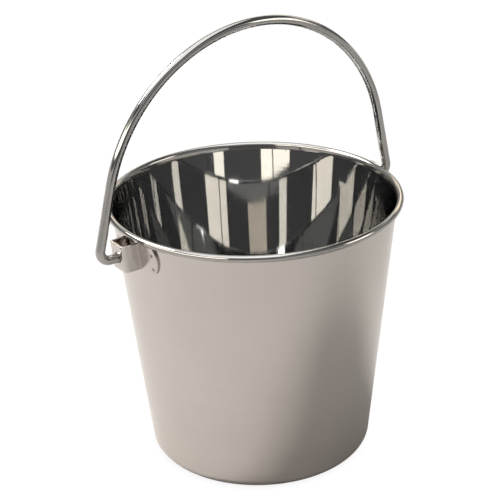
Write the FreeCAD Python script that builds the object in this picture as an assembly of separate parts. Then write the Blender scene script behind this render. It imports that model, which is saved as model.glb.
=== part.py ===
"""Stainless steel feed bucket: a drawn pail with a rolled rim, two welded ears and a loose wire bail.

The origin is on the pail's axis at floor level. +Z is up, and the ears are on the X axis.
"""

import FreeCAD
import Part
import math
import os
from FreeCAD import Vector

# Pail, in millimetres and degrees.
HEIGHT = 234.0
RIM_D = 254.0
SHEET = 0.9
BEAD_D = 6.1
BEAD_WRAP = 300.0
WALL_FOOT_R = 96.6  # where the outside of the wall would meet the floor
BASE_CORNER_R = 11.0  # outside radius
BASE_RECESS = 3.0
RECESS_R = 79.0
RECESS_BEND_R = 2.0
RECESS_SLOPE = 50.0

# Ears: strips bent to the shape of a hat, open above and below.
EAR_SHEET = 2.0
EAR_HEIGHT = 23.4
EAR_WIDTH = 20.5
EAR_FACE_R = 136.5  # outside of the ear's face, at its mid-height
EAR_DROP = 18.6  # rim top to the ear's mid-height
EAR_BEND_R = 2.2
FLANGE_REACH = 30.5  # at mid-height
FLANGE_REACH_AT_EDGES = 26.5
FLANGE_CORNER_R = 1.5
WELD_D = 3.0
WELD_DEPTH = 0.4
WELD_REACH = 25.0
WELD_HEIGHTS = (4.8, -7.7)  # from the ear's mid-height

# Bail: one bent rod with upset ends.
ROD_D = 8.0
HINGE_DROP = 19.2  # rim top to the hinge axis
CROWN_HEIGHT = 171.0  # rod centre, above the hinge axis
ARCH_R = 140.8
LEG_LEAN = 13.3
HOOK_R = 9.0
HEAD_D = 12.0
HEAD_LENGTH = 3.0
HEAD_EDGE_R = 0.8
HEAD_FACE = 130.5  # bail's centre to the outside of each head
HOLE_CLEARANCE = 0.6
BAIL_SLIDE = -2.6  # the bail has slid along its hinge towards the ear at -X
BAIL_TILT = 2.34  # and it leans towards -Y

X_AXIS = Vector(1, 0, 0)
Y_AXIS = Vector(0, 1, 0)
Z_AXIS = Vector(0, 0, 1)
ORIGIN = Vector(0, 0, 0)
HINGE_Z = HEIGHT - HINGE_DROP
EAR_Z = HEIGHT - EAR_DROP


class MiddleLine:
    """The middle of a bent sheet or rod: straight runs and bends, one after the other, in the XY plane.

    Each piece is a list of stations, two on a run and three on a bend. A station is a point and
    its left normal.
    """

    def __init__(self, start, heading=0.0):
        self.point = start
        self.normal = turned(Y_AXIS, heading)
        self.pieces = []

    def run(self, length):
        """Go straight ahead."""
        start = self.point
        self.point = start + turned(self.normal, -90) * length
        self.pieces.append([(start, self.normal), (self.point, self.normal)])

    def bend(self, radius, turn):
        """Go round an arc, by so many degrees to the left, or to the right where turn is negative."""
        to_centre = math.copysign(radius, turn)
        centre = self.point + self.normal * to_centre
        normals = [turned(self.normal, turn * share) for share in (0, 0.5, 1)]
        self.pieces.append([(centre - normal * to_centre, normal) for normal in normals])
        self.point, self.normal = self.pieces[-1][-1]

    def edges(self, offset=0.0):
        """Return the line's edges, moved to the left by offset."""
        found = []
        for piece in self.pieces:
            points = [point + normal * offset for point, normal in piece]
            kind = Part.Arc if len(points) == 3 else Part.LineSegment
            found.append(kind(*points).toShape())
        return found

    def sheet_face(self, thickness):
        """Return the flat section of a sheet with this middle line."""
        ends = [self.pieces[0][0], self.pieces[-1][-1]]
        half = thickness / 2
        caps = [
            Part.LineSegment(point - normal * half, point + normal * half).toShape()
            for point, normal in ends
        ]
        edges = self.edges(half) + self.edges(-half) + caps
        return Part.Face(Part.Wire(Part.__sortEdges__(edges)))


def turned(vector, degrees):
    """Return the vector turned about Z."""
    return FreeCAD.Rotation(Z_AXIS, degrees).multVec(vector)


def bead_centre():
    """Return the centre of the rolled bead's section, as radius and height."""
    return RIM_D / 2 - BEAD_D / 2, HEIGHT - BEAD_D / 2


def wall_tilt():
    """Return the wall's lean in degrees: its outside runs from the foot to a tangent of the rolled bead."""
    radius, height = bead_centre()
    inside_of_roll = BEAD_D / 2 - SHEET
    across = radius - WALL_FOOT_R
    reach = math.hypot(across, height)
    return math.degrees(math.atan2(across, height) - math.asin(inside_of_roll / reach))


def lean_out(rise):
    """Return how far the wall leans out over that rise."""
    return rise * math.tan(math.radians(wall_tilt()))


def wall_outer_radius(height):
    """Return the radius of the wall's outside at that height above the floor."""
    return WALL_FOOT_R + lean_out(height)


def pail_body():
    """Return the one-piece shell: recessed base, foot ring, rounded corner, tapered wall and rolled rim."""
    tilt = wall_tilt()
    lean = math.radians(tilt)
    half = SHEET / 2
    slope = math.radians(RECESS_SLOPE)
    bend_drop = 2 * RECESS_BEND_R * (1 - math.cos(slope))
    corner_r = BASE_CORNER_R - half
    wall_at_floor = wall_outer_radius(half) - half / math.cos(lean)
    corner_start = wall_at_floor - corner_r * math.tan(math.radians((90 - tilt) / 2))
    bead_r = BEAD_D / 2 - half
    bead_x, bead_y = bead_centre()
    wall_top = Vector(bead_x - bead_r * math.cos(lean), bead_y + bead_r * math.sin(lean), 0)

    line = MiddleLine(Vector(0, BASE_RECESS + half, 0))
    line.run(RECESS_R)
    line.bend(RECESS_BEND_R, -RECESS_SLOPE)
    line.run((BASE_RECESS - bend_drop) / math.sin(slope))
    line.bend(RECESS_BEND_R, RECESS_SLOPE)
    line.run(corner_start - line.point.x)
    line.bend(corner_r, 90 - tilt)
    line.run((wall_top - line.point).Length)
    line.bend(bead_r, -BEAD_WRAP)
    section = line.sheet_face(SHEET)
    section.rotate(ORIGIN, X_AXIS, 90)
    return section.revolve(ORIGIN, Z_AXIS, 360)


def ear_strip():
    """Return the bent strip, wider than the ear: X across, Y out from the wall and Z up.

    Its ends are level, and it leans out with the wall.
    """
    half = EAR_SHEET / 2
    wall_r = wall_outer_radius(EAR_Z)
    side_x = EAR_WIDTH / 2 - half
    face_y = EAR_FACE_R - wall_r - half
    flange_r = wall_r + half
    foot_x = side_x + EAR_BEND_R
    foot_y = math.sqrt((flange_r + EAR_BEND_R) ** 2 - foot_x**2) - wall_r
    foot_angle = math.degrees(math.asin(foot_x / (flange_r + EAR_BEND_R)))
    end_angle = math.degrees(math.asin((FLANGE_REACH + half) / flange_r))

    line = MiddleLine(Vector(0, face_y, 0))
    line.run(side_x - EAR_BEND_R)
    line.bend(EAR_BEND_R, -90)
    line.run(face_y - EAR_BEND_R - foot_y)
    line.bend(EAR_BEND_R, 90 - foot_angle)
    line.bend(flange_r, foot_angle - end_angle)
    up_the_wall = Vector(0, lean_out(EAR_HEIGHT), EAR_HEIGHT)
    right_half = line.sheet_face(EAR_SHEET).extrude(up_the_wall)
    right_half.translate(up_the_wall * -0.5)
    left_half = right_half.mirror(ORIGIN, X_AXIS)
    return right_half.fuse(left_half).removeSplitter()


def ear_outline():
    """Return a block with the ear's outline: straight above and below, and round at both ends."""
    half_height = EAR_HEIGHT / 2
    corners = [
        Vector(x * FLANGE_REACH_AT_EDGES, 0, z * half_height)
        for x, z in ((-1, 1), (1, 1), (1, -1), (-1, -1))
    ]
    edges = [
        Part.LineSegment(corners[0], corners[1]).toShape(),
        Part.Arc(corners[1], X_AXIS * FLANGE_REACH, corners[2]).toShape(),
        Part.LineSegment(corners[2], corners[3]).toShape(),
        Part.Arc(corners[3], X_AXIS * -FLANGE_REACH, corners[0]).toShape(),
    ]
    block = Part.Face(Part.Wire(edges)).extrude(Y_AXIS * 2 * EAR_FACE_R)
    block.translate(Y_AXIS * -EAR_FACE_R)
    across = [edge for edge in block.Edges if abs(edge.tangentAt(edge.FirstParameter).y) > 0.99]
    return block.makeFillet(FLANGE_CORNER_R, across)


def weld_dimples():
    """Return the shallow pits that spot welding leaves in the two flanges."""
    wall_r = wall_outer_radius(EAR_Z)
    flange_r = wall_r + EAR_SHEET
    angle = math.degrees(math.asin(WELD_REACH / flange_r))
    ball_r = (WELD_D**2 / 4 + WELD_DEPTH**2) / (2 * WELD_DEPTH)
    balls = []
    for side in (-1, 1):
        for height in WELD_HEIGHTS:
            ball = Part.makeSphere(ball_r, Vector(0, flange_r + ball_r - WELD_DEPTH, height))
            ball.rotate(ORIGIN, Z_AXIS, side * angle)
            ball.translate(Y_AXIS * (lean_out(height) - wall_r))
            balls.append(ball)
    return balls


def ear():
    """Return the ear on the +X side."""
    shape = ear_strip().common(ear_outline())
    for dimple in weld_dimples():
        shape = shape.cut(dimple)
    shape.rotate(ORIGIN, Z_AXIS, -90)
    shape.translate(Vector(wall_outer_radius(EAR_Z), 0, EAR_Z))
    wall = Part.makeCone(WALL_FOOT_R, wall_outer_radius(HEIGHT), HEIGHT)
    hole_r = ROD_D / 2 + HOLE_CLEARANCE
    hole_start = Vector(EAR_FACE_R - 2 * EAR_SHEET, 0, HINGE_Z)
    hole = Part.makeCylinder(hole_r, 4 * EAR_SHEET, hole_start, X_AXIS)
    return shape.cut(wall).cut(hole)


def bail():
    """Return the bent rod, leaning and slid along its hinge as it rests."""
    line = MiddleLine(Vector(0, CROWN_HEIGHT, 0))
    line.bend(ARCH_R, LEG_LEAN - 90)
    hook_drop = HOOK_R * (1 + math.sin(math.radians(LEG_LEAN)))
    line.run((line.point.y - hook_drop) / math.cos(math.radians(LEG_LEAN)))
    line.bend(HOOK_R, -90 - LEG_LEAN)
    line.run(line.point.x - HEAD_FACE + HEAD_LENGTH)
    spine = Part.Wire(line.edges())
    circle = Part.Wire(Part.makeCircle(ROD_D / 2, Vector(0, CROWN_HEIGHT, 0), X_AXIS))
    rod = spine.makePipeShell([circle], True, False)
    head = Part.makeCylinder(HEAD_D / 2, HEAD_LENGTH, Vector(HEAD_FACE - HEAD_LENGTH, 0, 0), X_AXIS)
    head = head.makeFillet(HEAD_EDGE_R, head.Edges)
    right_half = rod.fuse(head)
    left_half = right_half.mirror(ORIGIN, X_AXIS)
    shape = right_half.fuse(left_half).removeSplitter()
    shape.rotate(ORIGIN, X_AXIS, 90 + BAIL_TILT)
    shape.translate(Vector(BAIL_SLIDE, 0, HINGE_Z))
    return shape


def export(name, shape):
    """Write one sub-part."""
    solid = shape.Solids[0]
    print(name, len(shape.Solids), "solid", shape.isValid(), round(solid.Volume), solid.BoundBox)
    solid.exportStep(f"parts/{name}.step")


def main():
    os.makedirs("parts", exist_ok=True)
    right_ear = ear()
    left_ear = right_ear.copy()
    left_ear.rotate(ORIGIN, Z_AXIS, 180)
    export("pail_body", pail_body())
    export("ear_right", right_ear)
    export("ear_left", left_ear)
    export("bail", bail())


main()
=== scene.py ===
import math

import bmesh
import bpy
from mathutils import Matrix, Quaternion, Vector, geometry, noise


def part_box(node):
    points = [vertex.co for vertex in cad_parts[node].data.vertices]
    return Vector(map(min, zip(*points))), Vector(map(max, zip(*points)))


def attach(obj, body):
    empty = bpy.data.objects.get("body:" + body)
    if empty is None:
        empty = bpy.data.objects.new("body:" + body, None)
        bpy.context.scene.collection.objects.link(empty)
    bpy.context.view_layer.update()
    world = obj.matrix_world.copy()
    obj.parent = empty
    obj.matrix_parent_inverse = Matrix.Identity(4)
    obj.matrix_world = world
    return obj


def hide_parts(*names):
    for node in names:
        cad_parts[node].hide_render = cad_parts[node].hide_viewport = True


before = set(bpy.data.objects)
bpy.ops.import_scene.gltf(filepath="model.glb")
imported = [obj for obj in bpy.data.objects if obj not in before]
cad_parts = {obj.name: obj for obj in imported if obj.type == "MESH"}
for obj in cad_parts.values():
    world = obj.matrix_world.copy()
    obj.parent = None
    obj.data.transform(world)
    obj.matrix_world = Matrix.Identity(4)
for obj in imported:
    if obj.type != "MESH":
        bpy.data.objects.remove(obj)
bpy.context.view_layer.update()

MM = 0.001

# The pail's sheet, in metres and degrees.
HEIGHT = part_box("pail_body")[1].z
RIM_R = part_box("pail_body")[1].x
SHEET = 0.9 * MM
BEAD_R = 3.05 * MM  # the flare under the bead makes it a little smaller
BEAD_WRAP = 300.0
WALL_FOOT_R = 96.6 * MM
BASE_CORNER_R = 11.0 * MM
BASE_RECESS = 3.0 * MM
RECESS_R = 79.0 * MM
RECESS_BEND_R = 2.0 * MM
RECESS_SLOPE = 50.0
NECK = ((8.0 * MM, 5.0), (45.0 * MM, 4.0))  # radius and turn of the flare under the bead

# Ears.
EAR_SHEET = 2.0 * MM
EAR_HEIGHT = 23.4 * MM
EAR_WIDTH = 20.5 * MM
EAR_FACE_R = 136.5 * MM
EAR_Z = HEIGHT - 18.6 * MM
EAR_BEND_R = 2.2 * MM
FLANGE_REACH = 30.5 * MM
FLANGE_REACH_AT_EDGES = 26.5 * MM
FLANGE_CORNER_R = 1.5 * MM
EAR_EDGE_R = 0.45 * MM
WELD_R = 1.5 * MM
WELD_DEPTH = 0.4 * MM
WELD_REACH = 25.0 * MM
WELD_HEIGHTS = (4.8 * MM, -7.7 * MM)

# Bail.
ROD_R = 3.985 * MM  # a hair under the CAD rod, to stay inside its box
HINGE_Z = HEIGHT - 19.2 * MM
CROWN_HEIGHT = 171.0 * MM
ARCH_R = 140.8 * MM
LEG_LEAN = 13.3
HOOK_R = 9.0 * MM
HEAD_R = 6.0 * MM
HEAD_LENGTH = 3.0 * MM
HEAD_EDGE_R = 0.8 * MM
HEAD_FACE = 130.5 * MM
HOLE_R = 4.6 * MM
BAIL_SLIDE = -2.6 * MM
BAIL_TILT = 2.34

# Camera: it looks from this direction and distance at the middle of the rim.
VIEW_AZIMUTH = -125.2
VIEW_ELEVATION = 22.72
VIEW_DISTANCE = 1.27
AIM = Vector((-14.9, -13.0, 190.4)) * MM
ROLL = -1.898
LENS = 107.57


class MiddleLine:
    """Points and left normals along a bent sheet or rod, in a plane. It also measures the way along."""

    def __init__(self, x, y, heading=0.0):
        self.x, self.y, self.heading, self.way = x, y, math.radians(heading), 0.0
        self.stations = [self.station()]

    def station(self):
        return self.x, self.y, -math.sin(self.heading), math.cos(self.heading), self.way

    def run(self, length, step=3 * MM):
        """Go straight ahead."""
        count = max(1, round(length / step))
        for _ in range(count):
            self.x += length / count * math.cos(self.heading)
            self.y += length / count * math.sin(self.heading)
            self.way += length / count
            self.stations.append(self.station())

    def bend(self, radius, turn, step=5.0):
        """Go round an arc, by so many degrees to the left, or to the right where turn is negative."""
        side = math.copysign(radius, turn)
        centre_x = self.x - math.sin(self.heading) * side
        centre_y = self.y + math.cos(self.heading) * side
        count = max(1, round(abs(turn) / step))
        for _ in range(count):
            self.heading += math.radians(turn) / count
            self.x = centre_x + math.sin(self.heading) * side
            self.y = centre_y - math.cos(self.heading) * side
            self.way += radius * math.radians(abs(turn)) / count
            self.stations.append(self.station())

    def at(self, way):
        """Return the point and normal that far along."""
        for before, after in zip(self.stations, self.stations[1:]):
            if way <= after[4]:
                share = (way - before[4]) / (after[4] - before[4])
                return [a + (b - a) * share for a, b in zip(before[:4], after[:4])]
        return list(self.stations[-1][:4])


def wall_tilt():
    """Return the wall's lean in degrees."""
    across, height = RIM_R - BEAD_R - WALL_FOOT_R, HEIGHT - BEAD_R
    reach = math.hypot(across, height)
    return math.degrees(math.atan2(across, height) - math.asin((BEAD_R - SHEET) / reach))


TILT = wall_tilt()
LEAN = math.radians(TILT)


def lean_out(rise):
    """Return how far the wall leans out over that rise."""
    return rise * math.tan(LEAN)


def wall_radius(height):
    """Return the radius of the wall's outside at that height."""
    return WALL_FOOT_R + lean_out(height)


def new_piece(name, vertices, faces, body, slot, *nodes):
    """Make a smooth mesh that rides on a body and stands for those CAD nodes."""
    mesh = bpy.data.meshes.new(name)
    mesh.from_pydata(vertices, [], faces)
    mesh.validate()
    mesh.polygons.foreach_set("use_smooth", [True] * len(mesh.polygons))
    piece = bpy.data.objects.new(name, mesh)
    bpy.context.scene.collection.objects.link(piece)
    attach(piece, body)
    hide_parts(*nodes)
    return piece


# ---------------------------------------------------------------- pail

AROUND = 480


def pail_line():
    """Return the middle of the pail's section: radius and height."""
    half = SHEET / 2
    slope = math.radians(RECESS_SLOPE)
    corner_r = BASE_CORNER_R - half
    wall_at_floor = wall_radius(half) - half / math.cos(LEAN)
    corner_start = wall_at_floor - corner_r * math.tan(math.radians((90 - TILT) / 2))

    line = MiddleLine(0.4 * MM, BASE_RECESS + half)
    line.run(RECESS_R - 0.4 * MM, 4 * MM)
    line.bend(RECESS_BEND_R, -RECESS_SLOPE, 8)
    line.run((BASE_RECESS - 2 * RECESS_BEND_R * (1 - math.cos(slope))) / math.sin(slope), 1 * MM)
    line.bend(RECESS_BEND_R, RECESS_SLOPE, 8)
    line.run(corner_start - line.x, 2 * MM)
    line.bend(corner_r, 90 - TILT, 5)

    # The neck flares a little, so the bead is that much smaller and the rim keeps its size.
    neck = MiddleLine(0, 0, 90 - TILT)
    for radius, turn in NECK:
        neck.bend(radius, -turn, 0.5)
    end = -neck.heading + math.pi / 2
    at_top = wall_radius(HEIGHT + half * math.sin(end) - neck.y) - half / math.cos(LEAN)
    room = RIM_R + half * math.cos(end) - neck.x - at_top
    bead_r = room / (1 + math.cos(end) - (1 - math.sin(end)) * math.tan(LEAN))
    top_x = RIM_R - bead_r - (bead_r - half) * math.cos(end) - neck.x
    top_y = HEIGHT - bead_r + (bead_r - half) * math.sin(end) - neck.y
    line.run(math.hypot(top_x - line.x, top_y - line.y), 2.6 * MM)
    for radius, turn in NECK:
        line.bend(radius, -turn, 0.5)
    line.bend(bead_r - half, math.degrees(end) - TILT - BEAD_WRAP, 10)
    return line


def hand_wave(angle, height):
    """Return how far the drawn wall strays from a true cone there: slow waves that bend the reflections."""
    place = Vector((math.cos(angle) * 3.1, math.sin(angle) * 3.1, height * 9))
    finer = Vector((math.cos(angle) * 9, math.sin(angle) * 9, height * 22))
    return 0.03 * MM * noise.noise(place) + 0.004 * MM * noise.noise(finer)


def weld_mark(angle, height):
    """Return how far the spot welds of the ears push the wall inwards there."""
    depth = 0.0
    for ear_angle in (0.0, math.pi):
        off = (angle - ear_angle + math.pi) % (2 * math.pi) - math.pi
        if abs(off) < 0.35:
            for side in (-1, 1):
                for weld in WELD_HEIGHTS:
                    across = off * wall_radius(height) - side * WELD_REACH
                    up = height - EAR_Z - weld
                    depth += 0.12 * MM * math.exp(-(across**2 + up**2) / (2.4 * MM) ** 2)
    return depth


def pail_shell():
    """Make the pail: both faces of the sheet, its rolled rim and its rounded free edge."""
    line = pail_line()
    half = SHEET / 2
    rings = [(x + nx * half, y + ny * half) for x, y, nx, ny, _ in line.stations]
    x, y, nx, ny, _ = line.stations[-1]
    along_x, along_y = ny, -nx
    for turn in (30, 60, 90, 120, 150):
        lean = math.radians(turn)
        rings.append(
            (
                x + half * (nx * math.cos(lean) + along_x * 0.5 * math.sin(lean)),
                y + half * (ny * math.cos(lean) + along_y * 0.5 * math.sin(lean)),
            )
        )
    inside_count = len(line.stations)
    rings += [(x - nx * half, y - ny * half) for x, y, nx, ny, _ in reversed(line.stations)]

    vertices = []
    for index, (radius, height) in enumerate(rings):
        wall = 20 * MM < height < HEIGHT - 8 * MM
        ease = min(1.0, (height - 20 * MM) / (15 * MM), (HEIGHT - 8 * MM - height) / (8 * MM)) if wall else 0
        for step in range(AROUND):
            angle = 2 * math.pi * step / AROUND
            moved = radius
            if wall:
                moved += hand_wave(angle, height) * ease
                if index < inside_count:
                    moved -= weld_mark(angle, height) * ease
            vertices.append((moved * math.cos(angle), moved * math.sin(angle), height))
    faces = []
    for index in range(len(rings) - 1):
        low, high = index * AROUND, (index + 1) * AROUND
        for step in range(AROUND):
            after = (step + 1) % AROUND
            faces.append((low + step, low + after, high + after, high + step))
    for ring, flip in ((0, False), (len(rings) - 1, True)):
        centre = len(vertices)
        vertices.append((0, 0, rings[ring][1]))
        for step in range(AROUND):
            pair = [ring * AROUND + step, ring * AROUND + (step + 1) % AROUND]
            faces.append((centre, *(pair if not flip else pair[::-1])))
    piece = new_piece("pail_shell", vertices, faces, "pail", "pail_steel", "pail_body")

    outside_start = len(rings) - len(line.stations)
    for polygon in piece.data.polygons:
        ring = min(polygon.vertices) // AROUND
        centre = polygon.center
        # The rolled rim gets a darker steel: partly scuffed wear, partly painted shade that dims the bead's
        # reflections.
        if centre.z > HEIGHT - 6.4 * MM:
            polygon.material_index = 3
        elif ring < outside_start - 1:
            polygon.material_index = 0
        elif centre.z < 1.2 * MM or math.hypot(centre.x, centre.y) < WALL_FOOT_R - BASE_CORNER_R:
            polygon.material_index = 2
        else:
            polygon.material_index = 1
    return piece


# ---------------------------------------------------------------- ears


def ear_line():
    """Return half of the ear's middle line: across the ear, and out from the wall."""
    half = EAR_SHEET / 2
    wall_r = wall_radius(EAR_Z)
    side_x = EAR_WIDTH / 2 - half
    face_y = EAR_FACE_R - wall_r - half
    flange_r = wall_r + half
    foot_x = side_x + EAR_BEND_R
    foot_y = math.sqrt((flange_r + EAR_BEND_R) ** 2 - foot_x**2) - wall_r
    foot_angle = math.degrees(math.asin(foot_x / (flange_r + EAR_BEND_R)))
    end_angle = math.degrees(math.asin((FLANGE_REACH + half) / flange_r))

    line = MiddleLine(0, face_y)
    line.run(side_x - EAR_BEND_R, 1.1 * MM)
    line.bend(EAR_BEND_R, -90, 9)
    line.run(face_y - EAR_BEND_R - foot_y, 1.1 * MM)
    line.fold = line.way + EAR_BEND_R * math.radians(90 - foot_angle) / 2
    line.bend(EAR_BEND_R, 90 - foot_angle, 9)
    line.bend(flange_r, foot_angle - end_angle, 0.5)
    return line


def way_at(line, across):
    """Return how far along the line its flange reaches that distance across."""
    for before, after in zip(reversed(line.stations[:-1]), reversed(line.stations[1:])):
        if before[0] <= across:
            share = (across - before[0]) / (after[0] - before[0])
            return before[4] + (after[4] - before[4]) * share
    raise ValueError(across)


def ear_outline(line, inset):
    """Return a closed ring of points on the flat pattern, moved in from the ear's outline."""
    half = EAR_HEIGHT / 2
    bow = FLANGE_REACH - FLANGE_REACH_AT_EDGES
    arc_r = (half**2 + bow**2) / (2 * bow)
    arc_x = FLANGE_REACH - arc_r
    corner_y = half - FLANGE_CORNER_R
    corner_x = arc_x + math.sqrt((arc_r - FLANGE_CORNER_R) ** 2 - corner_y**2)
    start = math.atan2(corner_y, corner_x - arc_x)
    quarter = []
    for step in range(7):
        angle = math.pi / 2 + (start - math.pi / 2) * step / 6
        radius = FLANGE_CORNER_R - inset
        quarter.append((corner_x + radius * math.cos(angle), corner_y + radius * math.sin(angle)))
    for step in range(1, 13):
        angle = start * (1 - step / 12)
        quarter.append((arc_x + (arc_r - inset) * math.cos(angle), (arc_r - inset) * math.sin(angle)))
    quarter = [(way_at(line, x), y) for x, y in quarter]
    first = quarter[0][0]
    ways = [s[4] for s in line.stations if s[4] < first - 0.3 * MM]
    quarter = [(way, half - inset) for way in ways] + quarter
    right = quarter + [(x, -y) for x, y in reversed(quarter[:-1])]
    left = [(-x, y) for x, y in reversed(right)]
    return right + left[1:-1]


def ring_round(x, y, radius, count):
    """Return a ring of points on the flat pattern."""
    turns = [2 * math.pi * step / count for step in range(count)]
    return [(x + radius * math.cos(turn), y + radius * math.sin(turn)) for turn in turns]


def weld_spots(line):
    """Return where the spot welds are on the flat pattern."""
    wall_r = wall_radius(EAR_Z)
    way = way_at(line, WELD_REACH * (wall_r + EAR_SHEET / 2) / (wall_r + EAR_SHEET))
    return [(side * way, height) for side in (-1, 1) for height in WELD_HEIGHTS]


def pattern_points(line, hole_y, welds):
    """Return the flat pattern's points, how far its rounded edge drops there, and its two edge loops."""
    rounds = [math.radians(angle) for angle in (0, 22, 45, 67, 90)]
    points, drops, loops = [], [], []
    for angle in rounds:
        inset = EAR_EDGE_R * (1 - math.cos(angle))
        for ring in (ear_outline(line, inset), ring_round(0, hole_y, HOLE_R + inset, 48)):
            if angle == 0:
                loops.append(list(range(len(points), len(points) + len(ring))))
            points += ring
            drops += [EAR_EDGE_R * (1 - math.sin(angle))] * len(ring)
    for x, y in welds:
        points.append((x, y))
        for radius in (0.5, 0.9, 1.2, 1.5, 1.8):
            points += ring_round(x, y, radius * MM, 12)
    ways = sorted({s[4] for s in line.stations} | {-s[4] for s in line.stations})
    for way in ways:
        across = line.at(abs(way))[0]
        for row in range(1, 26):
            height = EAR_HEIGHT * (row / 26 - 0.5)
            bow = (FLANGE_REACH - FLANGE_REACH_AT_EDGES) * (2 * height / EAR_HEIGHT) ** 2
            in_corner = across > 24.3 * MM and abs(height) > 10.3 * MM
            by_edge = across > FLANGE_REACH - bow - 1.1 * MM or abs(height) > EAR_HEIGHT / 2 - 0.8 * MM
            by_hole = math.hypot(way, height - hole_y) < HOLE_R + 0.9 * MM
            by_weld = any(math.hypot(way - x, height - y) < 2.1 * MM for x, y in welds)
            if not (in_corner or by_edge or by_hole or by_weld):
                points.append((way, height))
    drops += [0.0] * (len(points) - len(drops))
    return points, drops, loops


def pattern_triangles(points, loops, hole_y):
    """Return the triangles that fill the flat pattern, as numbers of its points."""
    edges = [(loop[i - 1], loop[i]) for loop in loops for i in range(len(loop))]
    flat = [Vector(point) / MM for point in points]
    _, _, triangles, sources, _, _ = geometry.delaunay_2d_cdt(flat, edges, [], 0, 1e-5)
    outline = [flat[i] for i in loops[0]]
    hole = Vector((0, hole_y)) / MM
    kept = []
    for triangle in triangles:
        corners = [sources[i][0] for i in triangle]
        middle = sum((flat[i] for i in corners), Vector((0, 0))) / 3
        if (middle - hole).length > HOLE_R / MM * 0.999 and inside(middle, outline):
            kept.append(corners)
    return kept


def ear_shape():
    """Return the vertices of the ear at angle 0, its faces, and how dark each vertex is: burnt at the spot
    welds, and painted shade along the concave fold.
    """
    line = ear_line()
    hole_y = HINGE_Z - EAR_Z
    welds = weld_spots(line)
    points, drops, loops = pattern_points(line, hole_y, welds)
    triangles = pattern_triangles(points, loops, hole_y)

    vertices, stain = [], []
    for side in (1, -1):
        for (way, up), drop in zip(points, drops):
            across, out, normal_x, normal_y = line.at(abs(way))
            near = min(math.hypot(way - x, up - y) for x, y in welds)
            lift = EAR_SHEET / 2 - drop
            if side > 0 and near < WELD_R:
                lift -= WELD_DEPTH * (1 - (near / WELD_R) ** 2)
            across = math.copysign(1, way) * (across + side * lift * normal_x)
            out += side * lift * normal_y
            vertices.append((wall_radius(EAR_Z) + out + lean_out(up), -across, EAR_Z + up))
            # Burnt marks round the spot welds are real; the dark line along the concave fold is painted
            # shade.
            from_fold = abs(way) - line.fold
            burnt, fold_shade = math.exp(-((near / (1.3 * MM)) ** 2)), 0.55 * math.exp(-((from_fold / MM) ** 2))
            stain.append(max(burnt, fold_shade))
    count = len(points)
    faces = [tuple(corners) for corners in triangles]
    faces += [tuple(count + i for i in reversed(corners)) for corners in triangles]
    for loop in loops:
        for i in range(len(loop)):
            a, b = loop[i - 1], loop[i]
            faces.append((a, b, b + count, a + count))
    return vertices, faces, stain


def inside(point, outline):
    """Say whether a point is inside a closed outline."""
    found = False
    for i in range(len(outline)):
        a, b = outline[i - 1], outline[i]
        if (a.y > point.y) != (b.y > point.y):
            if point.x < a.x + (b.x - a.x) * (point.y - a.y) / (b.y - a.y):
                found = not found
    return found


def make_ears():
    """Make both ears."""
    vertices, faces, stain = ear_shape()
    ears = []
    for name, node, turn in (("ear_strap_right", "ear_right", 1), ("ear_strap_left", "ear_left", -1)):
        spots = [(turn * x, turn * y, z) for x, y, z in vertices]
        piece = new_piece(name, spots, faces, "pail", "ear_steel", node)
        # The stain attribute holds the weld burns and the painted shade along the ear's fold.
        piece.data.attributes.new("stain", "FLOAT", "POINT").data.foreach_set("value", stain)
        fix_normals(piece)
        ears.append(piece)
    return ears


def fix_normals(piece):
    """Turn every face of a closed mesh outwards."""
    work = bmesh.new()
    work.from_mesh(piece.data)
    bmesh.ops.recalc_face_normals(work, faces=work.faces)
    work.to_mesh(piece.data)
    work.free()


# ---------------------------------------------------------------- bail

ROD_SIDES = 40


def bail_sections():
    """Return the rod's sections from head to head: centre, direction, radius and way along."""
    line = MiddleLine(0, CROWN_HEIGHT)
    line.bend(ARCH_R, LEG_LEAN - 90, 1.2)
    hook_drop = HOOK_R * (1 + math.sin(math.radians(LEG_LEAN)))
    line.run((line.y - hook_drop) / math.cos(math.radians(LEG_LEAN)), 3 * MM)
    line.bend(HOOK_R, -90 - LEG_LEAN, 4)
    line.run(line.x - HEAD_FACE - 0.9 * MM, 2 * MM)
    right = [(x, y, normal_y, -normal_x, ROD_R, way) for x, y, normal_x, normal_y, way in line.stations]

    # The rod comes in towards the pail, so its head starts at the larger x.
    edge = [math.radians(angle) for angle in (0, 30, 60, 90)]
    inner = HEAD_FACE - HEAD_LENGTH
    head = [(HEAD_FACE + 0.4 * MM, ROD_R + 0.02 * MM), (HEAD_FACE + 0.08 * MM, ROD_R + 0.15 * MM)]
    head.append((HEAD_FACE, ROD_R + 0.5 * MM))
    for angle in edge:
        in_by, off_by = HEAD_EDGE_R * (1 - math.cos(angle)), HEAD_EDGE_R * (1 - math.sin(angle))
        head.append((HEAD_FACE - in_by, HEAD_R - off_by))
    for angle in edge:
        in_by, off_by = HEAD_EDGE_R * (1 - math.sin(angle)), HEAD_EDGE_R * (1 - math.cos(angle))
        head.append((inner + in_by, HEAD_R - off_by))
    head += [(inner, 3.4 * MM), (inner, 1.5 * MM)]
    right += [(x, 0.0, -1.0, 0.0, radius, line.way) for x, radius in head]
    left = [(-x, y, to_x, -to_y, radius, -way) for x, y, to_x, to_y, radius, way in right[1:]]
    return left[::-1] + right


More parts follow.
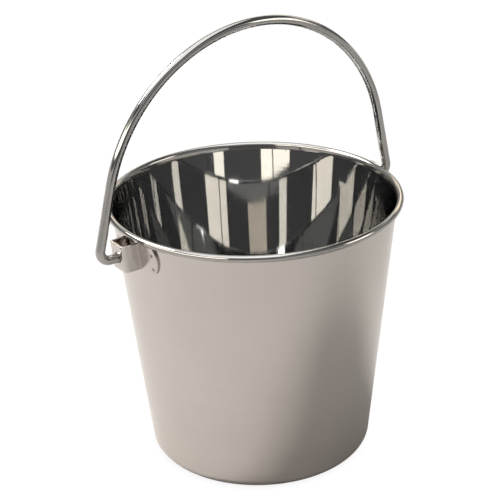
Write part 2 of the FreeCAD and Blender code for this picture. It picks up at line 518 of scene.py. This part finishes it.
def bail_mesh():
    """Return the bail's vertices and faces, and each vertex's place round and along the rod."""
    chain = bail_sections()
    vertices, grain, faces = [], [], []
    for x, y, to_x, to_y, radius, way in chain:
        for side in range(ROD_SIDES):
            angle = 2 * math.pi * side / ROD_SIDES
            out, deep = radius * math.cos(angle), radius * math.sin(angle)
            vertices.append((x - to_y * out, y + to_x * out, deep))
            grain.append((out, deep, way))
    for index in range(len(chain) - 1):
        low, high = index * ROD_SIDES, (index + 1) * ROD_SIDES
        for side in range(ROD_SIDES):
            after = (side + 1) % ROD_SIDES
            faces.append((low + side, low + after, high + after, high + side))
    for index in (0, len(chain) - 1):
        centre = len(vertices)
        vertices.append((chain[index][0], chain[index][1], 0))
        grain.append((0, 0, chain[index][5]))
        ring = index * ROD_SIDES
        for side in range(ROD_SIDES):
            faces.append((centre, ring + side, ring + (side + 1) % ROD_SIDES))
    tilt = Matrix.Rotation(math.radians(90 + BAIL_TILT), 3, "X")
    shift = Vector((BAIL_SLIDE, 0, HINGE_Z))
    return [tuple(tilt @ Vector(vertex) + shift) for vertex in vertices], faces, grain


def make_bail_rod():
    """Make the bail."""
    vertices, faces, grain = bail_mesh()
    piece = new_piece("bail_rod", vertices, faces, "bail", "rod_steel", "bail")
    fix_normals(piece)
    attribute = piece.data.attributes.new("rod_place", "FLOAT_VECTOR", "POINT")
    attribute.data.foreach_set("vector", [c for place in grain for c in place])
    return piece


# ---------------------------------------------------------------- node trees


class Tree:
    """A small helper that adds nodes to one tree. An input is a number, a tuple or another node's output."""

    def __init__(self, owner):
        owner.use_nodes = True
        self.tree = owner.node_tree
        self.tree.nodes.clear()

    def add(self, kind, inputs=None, output=0, **settings):
        node = self.tree.nodes.new(kind)
        for key, value in settings.items():
            setattr(node, key, value)
        for key, value in (inputs or {}).items():
            if isinstance(value, bpy.types.NodeSocket):
                self.tree.links.new(value, node.inputs[key])
            else:
                node.inputs[key].default_value = value
        return node.outputs[output]

    def finish(self, surface):
        """Make this the tree's surface."""
        output = self.tree.nodes.new("ShaderNodeOutputMaterial")
        self.tree.links.new(surface, output.inputs["Surface"])

    def math(self, operation, *values):
        return self.add("ShaderNodeMath", dict(enumerate(values)), operation=operation)

    def smooth(self, value, low, high, start=0.0, end=1.0):
        """Return a smooth step from start to end as the value goes from low to high."""
        inputs = {"Value": value, "From Min": low, "From Max": high, "To Min": start, "To Max": end}
        return self.add("ShaderNodeMapRange", inputs, interpolation_type="SMOOTHSTEP")

    def ramp(self, value, low, high, start=0.0, end=1.0):
        """Return a straight, clamped step from start to end as the value goes from low to high."""
        inputs = {"Value": value, "From Min": low, "From Max": high, "To Min": start, "To Max": end}
        return self.add("ShaderNodeMapRange", inputs)

    def noise(self, vector, scale, detail=2.0, **more):
        inputs = {"Vector": vector, "Scale": scale, "Detail": detail, **more}
        return self.add("ShaderNodeTexNoise", inputs)

    def stretch(self, vector, scale, turn=(0, 0, 0)):
        return self.add("ShaderNodeMapping", {"Vector": vector, "Scale": scale, "Rotation": turn})

    def blend(self, share, first, second):
        """Return a mix of two colours."""
        node = self.tree.nodes.new("ShaderNodeMix")
        node.data_type = "RGBA"
        for socket, value in ((0, share), (6, first), (7, second)):
            if isinstance(value, bpy.types.NodeSocket):
                self.tree.links.new(value, node.inputs[socket])
            else:
                node.inputs[socket].default_value = value
        return node.outputs[2]


def steel(
    name, colour, stain, rough, grain_scale, grain_depth, grain_detail=2.0,
    grain_shade=0.12, place=None, scratch_size=1.0, anisotropic=0.0, scuff=None, burn_and_fold_shade=None,
):
    """Make a steel: cloudy, with polishing lines and scratches, duller where scuff says, dark at weld burns
    and at painted shade that a vertex attribute gives.
    """
    material = bpy.data.materials.new(name)
    t = Tree(material)
    if place is None:
        place = t.add("ShaderNodeTexCoord", output=3)
    else:
        place = t.add("ShaderNodeAttribute", output=1, attribute_name=place)
    clouds = t.noise(place, 14.0, 4.0)
    smears = t.noise(t.stretch(place, (40, 40, 9)), 1.0, 5.0)
    lines = t.noise(t.stretch(place, grain_scale), 1.0, grain_detail)
    across, along = 2600 / scratch_size, 45 / scratch_size
    scratches = [
        t.noise(t.stretch(place, (across, along, along), (0.4, 0.7, 0.3)), 1.0, 1.0),
        t.noise(t.stretch(place, (along, across, along), (0.9, 0.2, 1.1)), 1.0, 1.0),
    ]
    marks = t.math("MAXIMUM", *[t.smooth(scratch, 0.72, 0.78) for scratch in scratches])

    dark = [c * 0.75 for c in colour]
    shade = t.blend(t.smooth(clouds, 0.35, 0.7), (*colour, 1), (*stain, 1))
    shade = t.blend(t.ramp(lines, 0.35, 0.7, 0.0, grain_shade), shade, (*dark, 1))
    low, high = rough
    roughness = t.smooth(smears, 0.3, 0.72, low, high)
    roughness = t.math("ADD", roughness, t.ramp(lines, 0.35, 0.8, 0.0, (high - low) * 0.6))
    roughness = t.math("ADD", roughness, t.math("MULTIPLY", marks, 0.08))
    if scuff is not None:
        worn = scuff(t, place)
        roughness = t.math("ADD", roughness, t.math("MULTIPLY", worn, 0.2))
        shade = t.blend(t.math("MULTIPLY", worn, 0.45), shade, (0.38, 0.36, 0.34, 1))
    # Darkening from a vertex attribute: on the ears, weld burns and painted shade along the fold.
    if burn_and_fold_shade is not None:
        spots = t.add("ShaderNodeAttribute", output=2, attribute_name=burn_and_fold_shade)
        roughness = t.math("ADD", roughness, t.math("MULTIPLY", spots, 0.2))
        shade = t.blend(t.ramp(spots, 0.05, 0.8, 0.0, 0.85), shade, (0.10, 0.085, 0.07, 1))
    height = t.math("ADD", lines, t.math("MULTIPLY", marks, -0.3))
    bump = t.add("ShaderNodeBump", {"Strength": 1.0, "Distance": grain_depth, "Height": height})
    inputs = {"Base Color": shade, "Roughness": roughness, "Metallic": 1.0, "Normal": bump}
    if anisotropic:
        inputs["Anisotropic"] = anisotropic
        inputs["Anisotropic Rotation"] = 0.25
        inputs["Tangent"] = t.add("ShaderNodeTangent", direction_type="RADIAL", axis="Z")
    t.finish(t.add("ShaderNodeBsdfPrincipled", inputs))
    return material


def foot_wear(t, place):
    """Return how worn the metal is: at the foot only, in patches."""
    height = t.add("ShaderNodeSeparateXYZ", {"Vector": place}, output=2)
    foot = t.smooth(height, 1 * MM, 12 * MM, 1.0, 0.0)
    patches = t.smooth(t.noise(place, 60.0, 5.0), 0.42, 0.62)
    return t.math("MULTIPLY", foot, patches)


def patches_of_wear(t, place):
    """Return scattered duller patches."""
    return t.smooth(t.noise(place, 35.0, 4.0), 0.58, 0.75, 0.0, 0.5)


def paint_object(shell, ears, rod):
    """Give every piece its steel."""
    shell.data.materials.append(
        steel(
            "steel_inside", (0.645, 0.645, 0.642), (0.62, 0.62, 0.62), (0.01, 0.03), (9, 9, 420),
            0.0000016, 1.0, 0.08,
        )
    )
    shell.data.materials.append(
        steel(
            "steel_outside", (0.60, 0.565, 0.535), (0.58, 0.545, 0.515), (0.035, 0.06), (16, 16, 1300),
            0.0000012, 2.0, 0.10, anisotropic=0.5, scuff=foot_wear,
        )
    )
    shell.data.materials.append(
        steel(
            "steel_under", (0.50, 0.48, 0.46), (0.44, 0.43, 0.41), (0.24, 0.34), (500, 500, 500),
            0.000002, scuff=foot_wear,
        )
    )
    # The rim's steel is darker than the wall's: partly wear, partly painted shade on the bead.
    shell.data.materials.append(
        steel(
            "steel_rim", (0.45, 0.44, 0.425), (0.38, 0.37, 0.355), (0.05, 0.10), (30, 30, 900),
            0.0000015, 2.0, 0.2, scuff=patches_of_wear,
        )
    )
    strap = steel(
        "steel_strap", (0.62, 0.585, 0.555), (0.56, 0.53, 0.50), (0.11, 0.18), (60, 60, 900),
        0.000002, scuff=patches_of_wear, burn_and_fold_shade="stain",
    )
    for ear in ears:
        ear.data.materials.append(strap)
    rod.data.materials.append(
        steel(
            "steel_rod", (0.48, 0.47, 0.455), (0.40, 0.39, 0.38), (0.05, 0.10), (650, 650, 7),
            0.000004, 1.0, 0.6, place="rod_place", scratch_size=3.0, scuff=patches_of_wear,
        )
    )


# ---------------------------------------------------------------- studio


def stage_mesh(name, vertices, faces, camera, glossy):
    """Make a piece of the studio, and choose which rays see it."""
    mesh = bpy.data.meshes.new(name)
    mesh.from_pydata(vertices, [], faces)
    thing = bpy.data.objects.new(name, mesh)
    bpy.context.scene.collection.objects.link(thing)
    thing.visible_camera = camera
    thing.visible_glossy = glossy
    thing.visible_diffuse = False
    thing.visible_transmission = False
    thing.visible_shadow = False
    return thing


def glow(name, colour, strength=1.0):
    """Make a material that only shines. The colour is plain, or a function that builds it in the tree."""
    material = bpy.data.materials.new(name)
    t = Tree(material)
    shade = colour(t) if callable(colour) else (*colour, 1)
    t.finish(t.add("ShaderNodeEmission", {"Color": shade, "Strength": strength}))
    return material


PANEL_DISTANCE = 2.0
ROOM_DISTANCE = 2.3
PANEL_LEVEL = 0.2  # the height that the panels' elevations are taken from


def panel(name, azimuths, elevations, shine, away=PANEL_DISTANCE):
    """Hang a bright upright panel, bent round the pail. The azimuths are from the camera's."""
    first, last = azimuths
    count = max(1, round(abs(last - first) / 10))
    turns = [math.radians(VIEW_AZIMUTH + first + (last - first) * i / count) for i in range(count + 1)]
    heights = [PANEL_LEVEL + away * math.tan(math.radians(elevation)) for elevation in elevations]
    vertices = [(away * math.cos(t), away * math.sin(t), z) for z in heights for t in turns]
    faces = [(i, i + 1, count + i + 2, count + i + 1) for i in range(count)]
    strength = max(shine)
    thing = stage_mesh(name, vertices, faces, False, True)
    thing.data.materials.append(glow(name, [c / strength for c in shine], strength))


def disc(radius, height, count=96):
    """Return the vertices and the face of a level disc."""
    turns = [2 * math.pi * i / count for i in range(count)]
    return [(radius * math.cos(t), radius * math.sin(t), height) for t in turns], [tuple(range(count))]


def floor_and_wall():
    """Lay the pale floor that the camera sees, with a painted shadow round the pail's foot, and a pale wall
    far off.
    """

    def pale(t):
        place = t.add("ShaderNodeTexCoord", output=3)
        radius = t.add("ShaderNodeVectorMath", {0: place}, 1, operation="LENGTH")
        # Painted shadow: the floor's glow turns partly grey round and under the pail's foot.
        return t.blend(t.smooth(radius, 0.080, 0.103, 0.3, 0.0), (1, 1, 1, 1), (0.25, 0.25, 0.25, 1))

    floor = stage_mesh("floor", *disc(9.0, 0.0), True, False)
    floor.data.materials.append(glow("floor_pale_painted_shadow", pale, 1.02))
    count = 96
    turns = [2 * math.pi * i / count for i in range(count)]
    vertices = [(8.9 * math.cos(t), 8.9 * math.sin(t), z) for z in (-0.01, 9.0) for t in turns]
    faces = [(i, (i + 1) % count, count + (i + 1) % count, count + i) for i in range(count)]
    wall = stage_mesh("backdrop", vertices, faces, True, False)
    wall.data.materials.append(glow("backdrop_pale", (1, 1, 1), 0.98))


def floor_in_mirror():
    """Lay the same plain floor for the steel to mirror. The lights shine on it and the pail shades it."""
    floor = stage_mesh("floor_in_mirror", *disc(2.4, 0.0003), False, True)
    material = bpy.data.materials.new("floor_matt")
    t = Tree(material)
    t.finish(t.add("ShaderNodeBsdfDiffuse", {"Color": (0.72, 0.69, 0.66, 1)}))
    floor.data.materials.append(material)


def area_light(name, azimuth, away, height, size, power):
    """Hang a soft light that shines at the pail's foot. The azimuth is from the camera's."""
    data = bpy.data.lights.new(name, "AREA")
    data.shape = "RECTANGLE"
    data.size, data.size_y = size
    data.energy = power
    lamp = bpy.data.objects.new(name, data)
    angle = math.radians(VIEW_AZIMUTH + azimuth)
    lamp.location = (away * math.cos(angle), away * math.sin(angle), height)
    lamp.rotation_mode = "QUATERNION"
    lamp.rotation_quaternion = (-lamp.location).to_track_quat("-Z", "Y")
    bpy.context.scene.collection.objects.link(lamp)
    lamp.visible_camera = False


def light_studio():
    """Set the lights, the panels and the dim room round them."""
    world = bpy.data.worlds.new("room")
    bpy.context.scene.world = world
    world.use_nodes = True
    background = next(n for n in world.node_tree.nodes if n.type == "BACKGROUND")
    background.inputs["Color"].default_value = (0.13, 0.13, 0.13, 1)
    background.inputs["Strength"].default_value = 1.0

    # A wide soft light overhead and a smaller one at the left.
    area_light("overhead_softbox", -90, 0.35, 2.4, (3.4, 2.2), 44)
    area_light("left_softbox", -115, 1.5, 1.8, (0.9, 0.9), 40)

    # The room: a cove, open towards the camera, a dim wall above it and a paler ceiling's edge.
    panel("cove", (20, 340), (-5.7, 8), (0.65, 0.63, 0.61))
    panel("room_wall", (-180, 180), (12, 28), (0.20, 0.20, 0.20), ROOM_DISTANCE)
    panel("room_high", (-180, 180), (28, 36), (0.70, 0.70, 0.68), ROOM_DISTANCE)

    # Three softboxes: a wide one at the left, a narrow one at the right and a low one behind.
    panel("softbox_left", (-90, -20), (15, 30), (4.2, 3.9, 3.4))
    panel("softbox_right", (70, 95), (12, 30), (3.6, 3.4, 3.0))
    panel("softbox_back", (140, 200), (20, 28), (2.2, 1.95, 1.6))


def set_camera():
    """Stand the camera at its viewing angle."""
    azimuth, elevation = math.radians(VIEW_AZIMUTH), math.radians(VIEW_ELEVATION)
    level = Vector((math.cos(azimuth), math.sin(azimuth), 0)) * math.cos(elevation)
    place = Vector((0, 0, HEIGHT)) + (level + Vector((0, 0, math.sin(elevation)))) * VIEW_DISTANCE
    data = bpy.data.cameras.new("camera")
    data.sensor_width = 36
    data.lens = LENS
    camera = bpy.data.objects.new("camera", data)
    camera.location = place
    camera.rotation_mode = "QUATERNION"
    look = (AIM - place).to_track_quat("-Z", "Y")
    camera.rotation_quaternion = look @ Quaternion((0, 0, 1), math.radians(ROLL))
    bpy.context.scene.collection.objects.link(camera)
    bpy.context.scene.camera = camera


shell = pail_shell()
fix_normals(shell)
ears = make_ears()
rod = make_bail_rod()
paint_object(shell, ears, rod)
floor_and_wall()
floor_in_mirror()
light_studio()
set_camera()
scene = bpy.context.scene
scene.view_settings.view_transform = "Standard"
scene.cycles.max_bounces = 32
scene.cycles.glossy_bounces = 30
